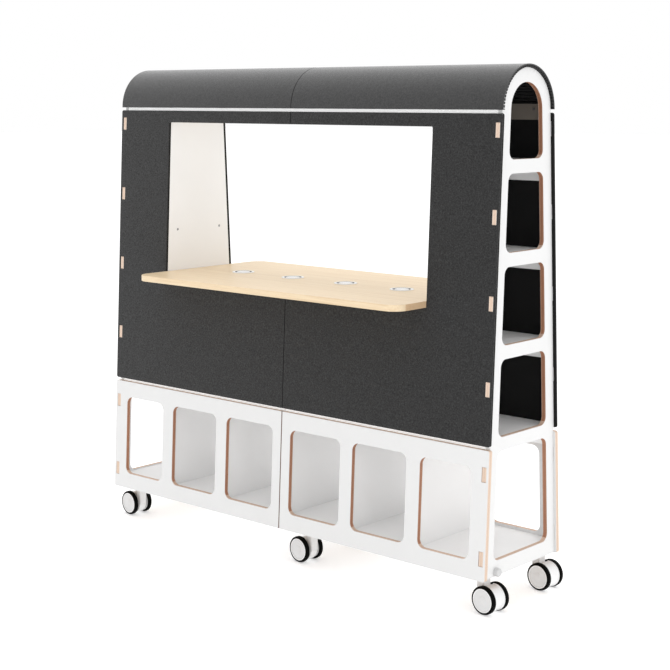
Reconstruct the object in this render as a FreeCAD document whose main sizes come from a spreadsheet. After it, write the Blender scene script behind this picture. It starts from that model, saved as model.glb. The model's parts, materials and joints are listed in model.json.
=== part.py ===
import FreeCAD, Part
import math
import os
import Sketcher

# Mobile partition wall with a standing-height desk and shelf towers, in millimetres.
# +X runs along the wall, -Y is the front, +Z is up, the origin is on the floor under the
# middle of the footprint. Every size below comes from the spreadsheet "dims".

DIMENSIONS = {
    # overall shape
    "half_width": 1000,          # wall ends
    "seam_half": 1,              # half the slot between the two modules
    "foot_half": 239,            # half depth at the bottom edge of the base panels
    "arch_radius": 161,          # outside of the felt cap
    "base_bottom": 138,
    "base_top": 606,
    "felt_bottom": 619,
    "felt_top": 1781,
    "spring_height": 1793,       # where the cap's half circle begins
    "kerf_depth": 8,
    "kerf_width": 3,
    # boards
    "board": 18,
    "felt": 12,
    "gap": 0.3,
    "corner": 8,
    # end frames
    "frame_inset": 10,           # how far the frame stands in from the panel ends
    "frame_bottom": 140,
    "frame_member": 64,          # from the outer wall plane to the edge of an opening
    "frame_foot_rail": 196,
    "lowest_rail": 640,          # top of the lowest cross rail
    "rail_pitch": 326.6,
    "rail_height": 49,
    "frame_corner": 30,
    # tenons that show through the panels
    "tenon_top": 1723.5,
    "tenon_pitch": 301,
    "tenon_height": 52,
    "tenon_recess": 1.5,
    "slot_play": 1,
    # shelves and battens
    "shelf_drop": 5,             # shelf top under the top of its cross rail
    "batten_height": 62,
    "top_rail_bottom": 1755.5,
    "top_rail_top": 1812.5,
    "top_rail_bore": 129.4,      # inner face of a top rail
    "top_rail_neck": 147.2,      # outer face of a top rail at its top edge
    # window, jambs and desk
    "window_half": 698,
    "window_top": 1732,
    "window_corner": 6,
    "desk_top": 1106,
    "desk_board": 24,
    "desk_half_depth": 361,
    "desk_half_width": 697,
    "desk_corner": 60,
    # base openings
    "base_opening_bottom": 204,
    "base_opening_top": 540,
    "opening_inner_near": 47.5,  # edges of the three openings, from the seam outwards
    "opening_inner_far": 309.5,
    "opening_middle_near": 370,
    "opening_middle_far": 632,
    "opening_outer_near": 695,
    "opening_outer_far": 927,
    "base_corner": 30,
    "divider_inner": 340,
    "divider_outer": 663,
    "floor_top": 192,
    # grommets
    "grommet_pitch": 285,
    "flange_radius": 46.5,
    "flange_rise": 2.5,
    "sleeve_radius": 40,
    "sleeve_bore": 33.5,
    "liner_bore": 28.5,
    "lid_radius": 28.2,
    "ledge_bore": 24,
    "lid_height": 8,
    # casters
    "stem_end": 930,
    "stem_middle": 95.5,
    "stem_front": 147,
    "stem_back": 205,
    "trail": 34,
    "wheel_radius": 52,
    "hub_radius": 46,
    "wheel_inner": 28,
    "wheel_width": 17.8,
    "axle_radius": 5,
    "axle_play": 0.05,
    "hood_radius": 48.5,
    "hood_half": 26.8,
    "hood_lip": 3.5,             # width of the rims beside the hood's channel
    "hood_channel": 2.5,         # depth of the channel
    "hood_back": 8,              # how far the hood's sides reach behind the axle
    "web_half": 17,
    "neck_half": 19.5,
    "neck_corner": 10,
    "hub_dish": 3,
    "hub_rim": 5,
    "hub_boss": 15,
    "tyre_round": 5,
    "plate_side": 60,
    "plate_board": 4,
    "plate_shift": 16,           # how far a plate sits inward of its stem, to keep its screws in the bearer
    "stem_radius": 6,
    "stem_length": 30,
    "bearer_width": 80,
    "plate_screw": 22,           # from the middle of a plate to a screw, along both sides
    "cleat_reach": 150,
    # fasteners and trim
    "screw_radius": 3,
    "screw_head": 5,
    "screw_length": 32,
    "screw_sink": 3,
    "screw_depth": 121.6,
    "rail_screw_along": 931,
    "rail_screw_height": 1794.5,
    "rail_screw_rise": 1.5,
    "rail_screw_length": 12,
    "bumper_radius": 16,
    "bumper_height": 18,
    "bumper_round": 4,
    "bumper_depth": 156,
    "bumper_lift": 156,
}

CASTER_TURN = 5                  # degrees that the end casters stand off square
SIDES = {"left": -1, "right": 1}
FACES = {"front": -1, "back": 1}

doc = FreeCAD.newDocument("mobile_partition")
sheet = doc.addObject("Spreadsheet::Sheet", "dims")
for row, (alias, number) in enumerate(DIMENSIONS.items(), start=1):
    sheet.set(f"A{row}", alias)
    sheet.set(f"B{row}", str(number))
    sheet.setAlias(f"B{row}", alias)
doc.recompute()

PARTS = []                       # every sub-part, in the order in which it is made


class Size:
    """A length that carries the spreadsheet formula it was worked out with."""

    def __init__(self, number, formula):
        self.number = number
        self.formula = formula

    def __add__(self, other):
        other = size(other)
        return Size(self.number + other.number, f"({self.formula} + {other.formula})")

    def __sub__(self, other):
        other = size(other)
        return Size(self.number - other.number, f"({self.formula} - {other.formula})")

    def __mul__(self, other):
        other = size(other)
        return Size(self.number * other.number, f"({self.formula} * {other.formula})")

    def __truediv__(self, other):
        other = size(other)
        return Size(self.number / other.number, f"({self.formula} / {other.formula})")

    def __neg__(self):
        return self * -1

    __radd__ = __add__
    __rmul__ = __mul__

    def __rsub__(self, other):
        return size(other) - self


def size(item):
    """Turn a spreadsheet alias or a plain number into a Size."""
    if isinstance(item, Size):
        return item
    if isinstance(item, str):
        return Size(float(sheet.get(item)), f"dims.{item}")
    return Size(float(item), repr(float(item)))


half_width = size("half_width")
seam_half = size("seam_half")
board = size("board")
felt = size("felt")
gap = size("gap")
spring = size("spring_height")
base_bottom = size("base_bottom")
frame_face = half_width - size("frame_inset")
frame_back = frame_face - board
window_half = size("window_half")
jamb_outer = window_half + board
base_ceiling = size("lowest_rail") - size("shelf_drop")
desk_under = size("desk_top") - size("desk_board")
wheel_radius = size("wheel_radius")


def wall(height, inset=0):
    """Half depth at a height of the plane that lies inset inside the wall's outer face."""
    lean = (size("foot_half") - size("arch_radius")) / (spring - base_bottom)
    return size("foot_half") - lean * (size(height) - base_bottom) - size(inset)


# Sketches and features -----------------------------------------------------------------


def new_body(label):
    """Start a sub-part; its label is the name of its file."""
    body = doc.addObject("PartDesign::Body", label)
    body.Label = label
    body.AllowCompound = True
    PARTS.append(body)
    return body


def origin_feature(body, role):
    """One of the body's own origin planes or axes."""
    return next(feature for feature in body.Origin.OriginFeatures if feature.Role == role)


def new_sketch(body, role, offset):
    """Sketch on one of the body's own origin planes, moved along the plane's normal."""
    sketch = body.newObject("Sketcher::SketchObject", f"{body.Name}_sketch")
    sketch.AttachmentSupport = [(origin_feature(body, role), "")]
    sketch.MapMode = "FlatFace"
    offset = size(offset)
    sketch.AttachmentOffset = FreeCAD.Placement(FreeCAD.Vector(0, 0, offset.number), FreeCAD.Rotation())
    sketch.setExpression("AttachmentOffset.Base.z", offset.formula)
    return sketch


def pin(sketch, element, point, place):
    """Hold one point of a sketch element at a place given by two sizes."""
    for kind, length in zip(("DistanceX", "DistanceY"), place):
        length = size(length)
        index = sketch.addConstraint(Sketcher.Constraint(kind, -1, 1, element, point, length.number))
        sketch.setExpression(f"Constraints[{index}]", length.formula)


def outline(sketch, corners, arch_centre=None):
    """Closed outline through the corners; its last side is an arc if arch_centre is given."""
    corners = [(size(across), size(up)) for across, up in corners]
    first = sketch.GeometryCount
    count = len(corners)
    for index in range(count):
        start = [length.number for length in corners[index]]
        end = [length.number for length in corners[(index + 1) % count]]
        if arch_centre is not None and index == count - 1:
            middle = FreeCAD.Vector(arch_centre[0], size(arch_centre[1]).number, 0)
            circle = Part.Circle(middle, FreeCAD.Vector(0, 0, 1), math.dist(start, end) / 2)
            sketch.addGeometry(Part.ArcOfCircle(circle, 0, math.pi), False)
        else:
            line = Part.LineSegment(FreeCAD.Vector(*start, 0), FreeCAD.Vector(*end, 0))
            sketch.addGeometry(line, False)
    if arch_centre is None:
        for index in range(count):
            after = first + (index + 1) % count
            sketch.addConstraint(Sketcher.Constraint("Coincident", first + index, 2, after, 1))
            pin(sketch, first + index, 1, corners[index])
        return
    # The arc runs counter-clockwise from the first corner to the last one.
    arc = first + count - 1
    for index in range(count - 2):
        sketch.addConstraint(Sketcher.Constraint("Coincident", first + index, 2, first + index + 1, 1))
    for index in range(count - 1):
        pin(sketch, first + index, 1, corners[index])
    pin(sketch, arc - 1, 2, corners[-1])
    sketch.addConstraint(Sketcher.Constraint("Coincident", arc, 1, first, 1))
    sketch.addConstraint(Sketcher.Constraint("Coincident", arc, 2, arc - 1, 2))
    spring_line = size(arch_centre[1])
    index = sketch.addConstraint(Sketcher.Constraint("DistanceY", -1, 1, arc, 3, spring_line.number))
    sketch.setExpression(f"Constraints[{index}]", spring_line.formula)


def circle(sketch, centre, radius):
    """Circle with its centre and radius bound to the sheet."""
    radius = size(radius)
    centre = [size(length) for length in centre]
    middle = FreeCAD.Vector(centre[0].number, centre[1].number, 0)
    shape = Part.Circle(middle, FreeCAD.Vector(0, 0, 1), radius.number)
    element = sketch.addGeometry(shape, False)
    pin(sketch, element, 3, centre)
    index = sketch.addConstraint(Sketcher.Constraint("Radius", element, radius.number))
    sketch.setExpression(f"Constraints[{index}]", radius.formula)


def pad(body, role, start, length, draw):
    """Extrude what draw() puts in a sketch, from start along the plane's normal."""
    sketch = new_sketch(body, role, start)
    draw(sketch)
    feature = body.newObject("PartDesign::Pad", f"{body.Name}_pad")
    feature.Profile = sketch
    feature.setExpression("Length", size(length).formula)
    sketch.Visibility = False
    doc.recompute()
    return feature


def pocket(body, role, start, length, draw):
    """Cut what draw() puts in a sketch, from start along the plane's normal."""
    before = body.Shape.Volume
    sketch = new_sketch(body, role, start)
    draw(sketch)
    feature = body.newObject("PartDesign::Pocket", f"{body.Name}_pocket")
    feature.Profile = sketch
    feature.Reversed = True
    feature.setExpression("Length", size(length).formula)
    sketch.Visibility = False
    doc.recompute()
    if body.Shape.Volume >= before:
        raise RuntimeError(f"a pocket in {body.Label} cuts nothing")
    return feature


def dress(body, names, radius):
    """Round the named edges of the body's last feature."""
    if not names:
        raise RuntimeError(f"no edges to round on {body.Label}")
    below = body.Tip
    feature = body.newObject("PartDesign::Fillet", f"{body.Name}_round")
    feature.Base = (below, names)
    feature.setExpression("Radius", size(radius).formula)
    doc.recompute()


def round_edges(body, axis, radius, corners):
    """Round the straight edges that run along axis ("X", "Y" or "Z") through the corners."""
    line = {"X": (1, 0, 0), "Y": (0, 1, 0), "Z": (0, 0, 1)}[axis]
    kept = [index for index in range(3) if not line[index]]
    wanted = [tuple(size(length).number for length in corner) for corner in corners]
    names = []
    for number, edge in enumerate(body.Tip.Shape.Edges, start=1):
        if not isinstance(edge.Curve, Part.Line):
            continue
        if abs(edge.Curve.Direction * FreeCAD.Vector(*line)) < 0.999:
            continue
        place = [edge.CenterOfMass[index] for index in kept]
        if any(math.dist(place, corner) < 0.05 for corner in wanted):
            names.append(f"Edge{number}")
    dress(body, names, radius)


def round_rims(body, rim_radius, radius):
    """Round the circular edges of one radius."""
    names = []
    for number, edge in enumerate(body.Tip.Shape.Edges, start=1):
        if isinstance(edge.Curve, Part.Circle) and abs(edge.Curve.Radius - size(rim_radius).number) < 0.01:
            names.append(f"Edge{number}")
    dress(body, names, radius)


def rectangle(left, right, bottom, top):
    """Corners of an upright rectangle."""
    return [(left, bottom), (right, bottom), (right, top), (left, top)]


def between(side, near, far):
    """Start and length of a stretch from near to far on one side of the middle plane."""
    near = size(near)
    far = size(far)
    start = near if side > 0 else -far
    return start, far - near


def leaning(face, outer, inner, bottom, top):
    """Section of a board that follows a wall's lean, between two insets."""
    return [
        (wall(bottom, outer) * face, bottom),
        (wall(top, outer) * face, top),
        (wall(top, inner) * face, top),
        (wall(bottom, inner) * face, bottom),
    ]


def full_depth(inset, bottom, top):
    """Section of a board that spans from the front wall to the back wall."""
    return [
        (-wall(bottom, inset), bottom),
        (wall(bottom, inset), bottom),
        (wall(top, inset), top),
        (-wall(top, inset), top),
    ]


# End frames -------------------------------------------------------------------------------

TENONS = 6
CROSS_RAILS = 4


def rail_top(level):
    """Top of a cross rail, counted up from the base."""
    return size("lowest_rail") + size("rail_pitch") * level


def tenon_middle(number):
    """Height of a tenon, counted down from the top one."""
    return size("tenon_top") - size("tenon_pitch") * number


def panel_behind(height):
    """Thickness of the panel that covers the frame's edge at a height."""
    return board if height.number < DIMENSIONS["base_top"] else felt


def frame_openings():
    """The four openings under the arch: bottom and top of each."""
    openings = [(size("frame_foot_rail"), rail_top(0) - size("rail_height"))]
    for level in range(CROSS_RAILS - 1):
        openings.append((rail_top(level), rail_top(level + 1) - size("rail_height")))
    return openings


def end_frame(name, side):
    """CNC-cut end frame: one board with an arch on top, five openings and edge tenons."""
    body = new_body(f"end_frame_{name}")
    start, thickness = between(side, frame_back, frame_face)
    joint = (size("base_top") + size("felt_bottom")) / 2
    base_inset = board + gap
    felt_inset = felt + gap

    def contour(sketch):
        right = [
            (wall(spring, felt_inset), spring),
            (wall(joint, felt_inset), joint),
            (wall(joint, base_inset), joint),
            (wall("frame_bottom", base_inset), size("frame_bottom")),
        ]
        left = [(-across, up) for across, up in reversed(right)]
        outline(sketch, right + left, arch_centre=(0, spring))

    pad(body, "YZ_Plane", start, thickness, contour)

    def openings(sketch):
        for bottom, top in frame_openings():
            outline(sketch, full_depth("frame_member", bottom, top))
        sill = rail_top(CROSS_RAILS - 1)
        jambs = [
            (wall(spring, "frame_member"), spring),
            (wall(sill, "frame_member"), sill),
            (-wall(sill, "frame_member"), sill),
            (-wall(spring, "frame_member"), spring),
        ]
        outline(sketch, jambs, arch_centre=(0, spring))

    pocket(body, "YZ_Plane", start - 1, thickness + 2, openings)
    heights = [height for opening in frame_openings() for height in opening]
    heights.append(rail_top(CROSS_RAILS - 1))
    corners = [(wall(height, "frame_member") * face, height) for height in heights for face in (-1, 1)]
    round_edges(body, "X", "frame_corner", corners)

    def tenons(sketch):
        for number in range(TENONS):
            bottom = tenon_middle(number) - size("tenon_height") / 2
            top = tenon_middle(number) + size("tenon_height") / 2
            for face in FACES.values():
                root = panel_behind(bottom) + board
                outline(sketch, leaning(face, "tenon_recess", root, bottom, top))

    pad(body, "YZ_Plane", start, thickness, tenons)


def tenon_slots(sketch, side, numbers):
    """Slots for the tenons, seen from the front."""
    play = size("slot_play")
    for number in numbers:
        middle = tenon_middle(number)
        reach = size("tenon_height") / 2 + play
        near = (frame_back - play) * side
        far = (frame_face + play) * side
        outline(sketch, rectangle(near, far, middle - reach, middle + reach))


# Wall panels --------------------------------------------------------------------------------


def felt_panel(face_name, face, name, side):
    """Flat felt board of one module, with half of the window cut out of it."""
    body = new_body(f"felt_{face_name}_{name}")
    start, length = between(side, seam_half, half_width)
    pad(body, "YZ_Plane", start, length, lambda sketch: outline(
        sketch, leaning(face, 0, felt, "felt_bottom", "felt_top")))

    def cuts(sketch):
        sill = desk_under - gap
        outline(sketch, rectangle(window_half * side, seam_half * side - side, sill, "window_top"))
        tenon_slots(sketch, side, range(4))

    pocket(body, "XZ_Plane", -size("foot_half"), size("foot_half") * 2, cuts)
    round_edges(body, "Y", "window_corner", [(window_half * side, "window_top")])
    round_edges(body, "Y", "corner", [(half_width * side, "felt_bottom"), (half_width * side, "felt_top")])


def base_openings(side):
    """Edges of the three openings of a base panel, from the seam outwards."""
    spans = []
    for place in ("inner", "middle", "outer"):
        near = size(f"opening_{place}_near")
        far = size(f"opening_{place}_far")
        spans.append((near * side, far * side))
    return spans


def base_panel(face_name, face, name, side):
    """Laminated plywood panel of the base with three round-cornered openings."""
    body = new_body(f"base_{face_name}_{name}")
    start, length = between(side, seam_half, half_width)
    pad(body, "YZ_Plane", start, length, lambda sketch: outline(
        sketch, leaning(face, 0, board, "base_bottom", "base_top")))
    bottom = size("base_opening_bottom")
    top = size("base_opening_top")

    def cuts(sketch):
        for near, far in base_openings(side):
            outline(sketch, rectangle(near, far, bottom, top))
        tenon_slots(sketch, side, range(4, TENONS))

    pocket(body, "XZ_Plane", -size("foot_half") - 1, size("foot_half") * 2 + 2, cuts)
    corners = [(edge, height) for span in base_openings(side) for edge in span for height in (bottom, top)]
    round_edges(body, "Y", "base_corner", corners)
    round_edges(body, "Y", "corner", [(half_width * side, height) for height in ("base_bottom", "base_top")])


# Felt cap -----------------------------------------------------------------------------------

KERFS = 40


def cap(name, side):
    """Thick felt bent over the arch; saw kerfs on its inside let it bend."""
    body = new_body(f"cap_{name}")
    start, length = between(side, seam_half, half_width)
    outer = size("arch_radius")
    inner = outer - felt

    # Drawn about the arch's own centre line, then lifted to the spring line.
    def half_ring(sketch):
        outline(sketch, [(outer, 0), (-outer, 0)], arch_centre=(0, 0))

    def hollow(sketch):
        outline(sketch, [(inner, 0), (inner, -1), (-inner, -1), (-inner, 0)], arch_centre=(0, 0))

    pad(body, "YZ_Plane", start, length, half_ring)
    pocket(body, "YZ_Plane", start - 1, length + 2, hollow)

    step = math.pi / KERFS
    radial = (math.cos(step / 2), math.sin(step / 2))
    half = size("kerf_width") / 2
    reach = inner + size("kerf_depth")

    def kerf(sketch):
        corners = []
        for radius, offset in ((inner - 1, -half), (reach, -half), (reach, half), (inner - 1, half)):
            corners.append((radius * radial[0] - offset * radial[1], radius * radial[1] + offset * radial[0]))
        outline(sketch, corners)

    first = pocket(body, "YZ_Plane", start - 1, length + 2, kerf)
    pattern = body.newObject("PartDesign::PolarPattern", f"{body.Name}_kerfs")
    pattern.Originals = [first]
    pattern.Axis = (origin_feature(body, "X_Axis"), [""])
    pattern.Angle = 180 - math.degrees(step)
    pattern.Occurrences = KERFS
    body.Tip = pattern
    body.Placement = FreeCAD.Placement(FreeCAD.Vector(0, 0, spring.number), FreeCAD.Rotation())
    body.setExpression("Placement.Base.z", spring.formula)
    doc.recompute()


# Boards inside ------------------------------------------------------------------------------


def top_rail_section(face):
    """Rail that the felt panel and the cap are both screwed to; its inner face is upright."""
    return [
        (wall("top_rail_bottom", felt + gap) * face, "top_rail_bottom"),
        (wall(spring, felt + gap) * face, spring),
        (size("top_rail_neck") * face, "top_rail_top"),
        (size("top_rail_bore") * face, "top_rail_top"),
        (size("top_rail_bore") * face, "top_rail_bottom"),
    ]


def top_rails():
    """Four rails behind the joint between felt panels and caps."""
    body = new_body("top_rails")
    for side in SIDES.values():
        start, length = between(side, seam_half, frame_back)
        pad(body, "YZ_Plane", start, length, lambda sketch: [
            outline(sketch, top_rail_section(face)) for face in FACES.values()])
    bore = size("top_rail_bore")
    for side in FACES.values():
        start, depth = between(side, bore - 1, bore + size("rail_screw_length") + 1)
        pocket(body, "XZ_Plane", start, depth, on_each_rail_screw(size("screw_radius") + gap))


def on_each_rail_screw(radius):
    """Circles of one radius at the screws near both ends of the top rails."""
    along = size("rail_screw_along")
    return lambda sketch: [circle(sketch, (along * side, "rail_screw_height"), radius) for side in (-1, 1)]


def rail_notches(sketch):
    """Notches that let the top rails pass through an arched rib."""
    bottom = size("top_rail_bottom") - gap
    top = size("top_rail_top") + gap
    bore = size("top_rail_bore") - gap
    for face in FACES.values():
        outline(sketch, rectangle(bore * face, size("foot_half") * face, bottom, top))


def arched_rib(body, start, thickness, bottom):
    """Rib that carries the cap: follows both walls and the arch, notched for the rails."""
    def contour(sketch):
        corners = [
            (wall(spring, felt + gap), spring),
            (wall(bottom, felt + gap), bottom),
            (-wall(bottom, felt + gap), bottom),
            (-wall(spring, felt + gap), spring),
        ]
        outline(sketch, corners, arch_centre=(0, spring))

    pad(body, "YZ_Plane", start, thickness, contour)


def window_jamb(name, side):
    """Inner side of a tower, seen as the side of the window."""
    body = new_body(f"window_jamb_{name}")
    start, thickness = between(side, window_half, jamb_outer)
    arched_rib(body, start, thickness, base_ceiling)
    pocket(body, "YZ_Plane", start - 1, thickness + 2, rail_notches)
    across, up = screw_places()
    face_start, face_depth = between(side, window_half - 1, window_half + size("screw_sink"))
    pocket(body, "YZ_Plane", face_start, face_depth, lambda sketch: [
        circle(sketch, (across * sign, up), size("screw_head") + gap) for sign in (-1, 1)])
    pocket(body, "YZ_Plane", start - 1, thickness + 2, lambda sketch: [
        circle(sketch, (across * sign, up), size("screw_radius") + gap) for sign in (-1, 1)])


def shelf_top(level):
    """Top of a shelf; level 0 is the top of the base."""
    return rail_top(level) - size("shelf_drop")


def screw_places():
    """Where the screws through a jamb meet the middle shelf: depth and height."""
    return size("screw_depth"), shelf_top(2) - board / 2


def tower_shelves(name, side):
    """Three shelves of a tower, shorter from level to level as the walls lean in."""
    body = new_body(f"tower_shelves_{name}")
    start, length = between(side, jamb_outer, frame_back)
    for level in range(1, CROSS_RAILS):
        section = full_depth(felt + gap, shelf_top(level) - board, shelf_top(level))
        pad(body, "YZ_Plane", start, length, lambda sketch: outline(sketch, section))
    across, up = screw_places()
    near, depth = between(side, jamb_outer - 1, jamb_outer + size("screw_length"))
    pocket(body, "YZ_Plane", near, depth, lambda sketch: [
        circle(sketch, (across * sign, up), size("screw_radius") + gap) for sign in (-1, 1)])


def frame_screws():
    """Screws through the jambs into the middle shelves, and screws in the top rails."""
    body = new_body("frame_screws")
    across, up = screw_places()
    for side in SIDES.values():
        sunk = window_half + size("screw_sink")
        head, head_depth = between(side, window_half + 0.5, sunk)
        pad(body, "YZ_Plane", head, head_depth, lambda sketch: [
            circle(sketch, (across * sign, up), "screw_head") for sign in (-1, 1)])
        shank, shank_length = between(side, sunk - 1, jamb_outer + size("screw_length") - 1)
        pad(body, "YZ_Plane", shank, shank_length, lambda sketch: [
            circle(sketch, (across * sign, up), "screw_radius") for sign in (-1, 1)])
    bore = size("top_rail_bore")
    for side in FACES.values():
        head, head_depth = between(side, bore - size("rail_screw_rise"), bore)
        pad(body, "XZ_Plane", head, head_depth, on_each_rail_screw(size("screw_head")))
        shank, shank_length = between(side, bore - 1, bore + size("rail_screw_length"))
        pad(body, "XZ_Plane", shank, shank_length, on_each_rail_screw(size("screw_radius")))


def shelf_battens():
    """Battens that follow both walls under every shelf and under the top of the base."""
    body = new_body("shelf_battens")
    for side in SIDES.values():
        for level in range(CROSS_RAILS):
            top = shelf_top(level) - board
            bottom = top - size("batten_height")
            inset = (felt if level else board) + gap
            near = jamb_outer if level else seam_half
            start, length = between(side, near, frame_back)
            pad(body, "YZ_Plane", start, length, lambda sketch: [
                outline(sketch, leaning(face, inset, inset + board, bottom, top))
                for face in FACES.values()])


def base_floor(name, side):
    """Floor of the base compartments of one module."""
    body = new_body(f"base_floor_{name}")
    start, length = between(side, seam_half, frame_back)
    top = size("floor_top")
    pad(body, "YZ_Plane", start, length, lambda sketch: outline(
        sketch, full_depth(board + gap, top - board, top)))


def base_ceiling_board(name, side):
    """Top of the base, which is also the lowest shelf of the tower."""
    body = new_body(f"base_top_{name}")
    start, length = between(side, seam_half, frame_back)
    pad(body, "YZ_Plane", start, length, lambda sketch: outline(
        sketch, full_depth(felt + gap, base_ceiling - board, base_ceiling)))


def base_divider(label, stretches):
    """Upright boards between the compartments, notched at the top for the battens."""
    body = new_body(label)
    top = base_ceiling - board
    notch = top - size("batten_height") - gap
    inset = board + gap
    neck = inset + board + gap

    def contour(sketch):
        right = [
            (wall("floor_top", inset), "floor_top"),
            (wall(notch, inset), notch),
            (wall(notch, neck), notch),
            (wall(top, neck), top),
        ]
        left = [(-across, up) for across, up in reversed(right)]
        outline(sketch, right + left)

    for start, thickness in stretches:
        pad(body, "YZ_Plane", start, thickness, contour)


def base_dividers():
    """Two dividers in each module and a pair back to back at the seam."""
    pair = [between(side, seam_half, seam_half + board) for side in SIDES.values()]
    base_divider("base_divider_seam", pair)
    for name, side in SIDES.items():
        for place in ("inner", "outer"):
            middle = size(f"divider_{place}")
            stretch = between(side, middle - board / 2, middle + board / 2)
            base_divider(f"base_divider_{name}_{place}", [stretch])


def window_header():
    """Board over the window, across both modules."""
    body = new_body("window_header")
    bottom = size("window_top")
    pad(body, "YZ_Plane", -window_half, window_half * 2, lambda sketch: outline(
        sketch, full_depth(felt + gap, bottom, bottom + board)))


def seam_posts():
    """Pairs of boards at the seam: under the desk, and over the window under the cap."""
    body = new_body("seam_posts")
    for side in SIDES.values():
        start, thickness = between(side, seam_half, seam_half + board)
        pad(body, "YZ_Plane", start, thickness, lambda sketch: outline(
            sketch, full_depth(felt + gap, base_ceiling, desk_under)))
        arched_rib(body, start, thickness, size("window_top") + board)
    span = (seam_half + board) * 2
    pocket(body, "YZ_Plane", -span / 2 - 1, span + 2, rail_notches)


# Desk ---------------------------------------------------------------------------------------

GROMMETS = 4


def grommet_place(number):
    """Distance of a cable grommet from the middle of the desk."""
    return size("grommet_pitch") * (number - (GROMMETS - 1) / 2)


def on_each_grommet(radius):
    """Circles of one radius at every grommet."""
    return lambda sketch: [circle(sketch, (grommet_place(number), 0), radius) for number in range(GROMMETS)]


def desktop():
    """Desk board that stands out on both sides of the wall, with round corners."""
    body = new_body("desktop")
    half_length = size("desk_half_width")
    half_depth = size("desk_half_depth")
    pad(body, "XY_Plane", desk_under, "desk_board", lambda sketch: outline(
        sketch, rectangle(-half_length, half_length, -half_depth, half_depth)))
    corners = [(half_length * across, half_depth * face) for across in (-1, 1) for face in (-1, 1)]
    round_edges(body, "Z", "desk_corner", corners)
    bore = size("sleeve_radius") + gap
    pocket(body, "XY_Plane", desk_under - 1, size("desk_board") + 2, on_each_grommet(bore))


def desk_cleats():
    """Cleats on the jambs that carry the ends of the desk."""
    body = new_body("desk_cleats")
    height = size("batten_height")
    reach = size("cleat_reach")
    for side in SIDES.values():
        start, thickness = between(side, window_half - board, window_half)
        pad(body, "YZ_Plane", start, thickness, lambda sketch: outline(
            sketch, rectangle(-reach, reach, desk_under - height, desk_under)))


def grommet_sleeves():
    """White sleeves with a flange on the desk."""
    body = new_body("grommet_sleeves")
    desk_top = size("desk_top")
    pad(body, "XY_Plane", desk_top, "flange_rise", on_each_grommet("flange_radius"))
    pad(body, "XY_Plane", desk_under, "desk_board", on_each_grommet("sleeve_radius"))
    depth = size("desk_board") + size("flange_rise") + 2
    pocket(body, "XY_Plane", desk_under - 1, depth, on_each_grommet("sleeve_bore"))


def grommet_liners():
    """Black rings inside the sleeves, each with a ledge that its lid rests on."""
    body = new_body("grommet_liners")
    ledge = lid_bottom() - gap
    rim = size("desk_top") + size("flange_rise") - 1
    pad(body, "XY_Plane", desk_under, rim - desk_under, on_each_grommet(size("sleeve_bore") - gap))
    pocket(body, "XY_Plane", ledge, rim - ledge + 1, on_each_grommet("liner_bore"))
    pocket(body, "XY_Plane", desk_under - 1, ledge - desk_under + 2, on_each_grommet("ledge_bore"))


def lid_bottom():
    """Underside of a grommet lid, whose top is level with the flange."""
    return size("desk_top") + size("flange_rise") - size("lid_height")


def grommet_lid(number):
    """Round lid that turns in its liner."""
    body = new_body(f"grommet_lid_{number + 1}")
    place = grommet_place(number)
    pad(body, "XY_Plane", lid_bottom(), "lid_height", lambda sketch: circle(
        sketch, (place, 0), "lid_radius"))


# Casters ------------------------------------------------------------------------------------


def caster_places():
    """Stem place and heading of every caster; the wheels trail along the heading."""
    stations = {
        "left": (-size("stem_end"), 180 - CASTER_TURN),
        "middle": (size("stem_middle"), 180 - CASTER_TURN),
        "right": (size("stem_end"), -CASTER_TURN),
    }
    rows = {"front": -size("stem_front"), "back": size("stem_back")}
    places = {}
    for row_name, across in rows.items():
        for station, (along, heading) in stations.items():
            places[f"{station}_{row_name}"] = (along, across, heading)
    return places


def caster_bearers():
    """Thick boards under the base floor that the casters are screwed to."""
    body = new_body("caster_bearers")
    half = size("bearer_width") / 2
    top = size("floor_top") - board
    for middle in (-size("stem_end"), size("stem_middle"), size("stem_end")):
        pad(body, "YZ_Plane", middle - half, half * 2, lambda sketch: outline(
            sketch, full_depth(board + gap, base_bottom, top)))
    pocket(body, "XY_Plane", base_bottom - 1, size("screw_length") + 1, on_each_screw("screw_radius"))


def plate_middles():
    """Middle of every caster plate, set in from its stem towards the middle of the wall."""
    middles = []
    for along, across, _ in caster_places().values():
        inward = 1 if across.number < 0 else -1
        middles.append((along, across + size("plate_shift") * inward))
    return middles


def on_each_screw(radius):
    """Circles of one radius, plus running room, at every plate screw."""
    reach = size("plate_screw")

    def draw(sketch):
        for along, across in plate_middles():
            for right in (-1, 1):
                for back in (-1, 1):
                    circle(sketch, (along + reach * right, across + reach * back), size(radius) + gap)

    return draw


def caster_mounts():
    """Square plates with the stems that the casters swivel on."""
    body = new_body("caster_mounts")
    plate = size("plate_board")
    half = size("plate_side") / 2
    pad(body, "XY_Plane", base_bottom - plate, plate, lambda sketch: [
        outline(sketch, rectangle(along - half, along + half, across - half, across + half))
        for along, across in plate_middles()])
    stem = size("stem_length")
    pad(body, "XY_Plane", base_bottom - plate - stem, stem + 1, lambda sketch: [
        circle(sketch, (along, across), "stem_radius") for along, across, _ in caster_places().values()])
    pocket(body, "XY_Plane", base_bottom - plate - 1, plate + 2, on_each_screw("screw_head"))


def caster_screws():
    """Screws that hold the caster plates, heads sunk in the plates."""
    body = new_body("caster_screws")
    plate = size("plate_board")
    pad(body, "XY_Plane", base_bottom - plate + 0.5, plate - 0.5, on_each_screw(size("screw_head") - gap))
    shank = size("screw_radius") - gap * 2
    pad(body, "XY_Plane", base_bottom - 1, size("screw_length"), on_each_screw(shank))


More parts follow.
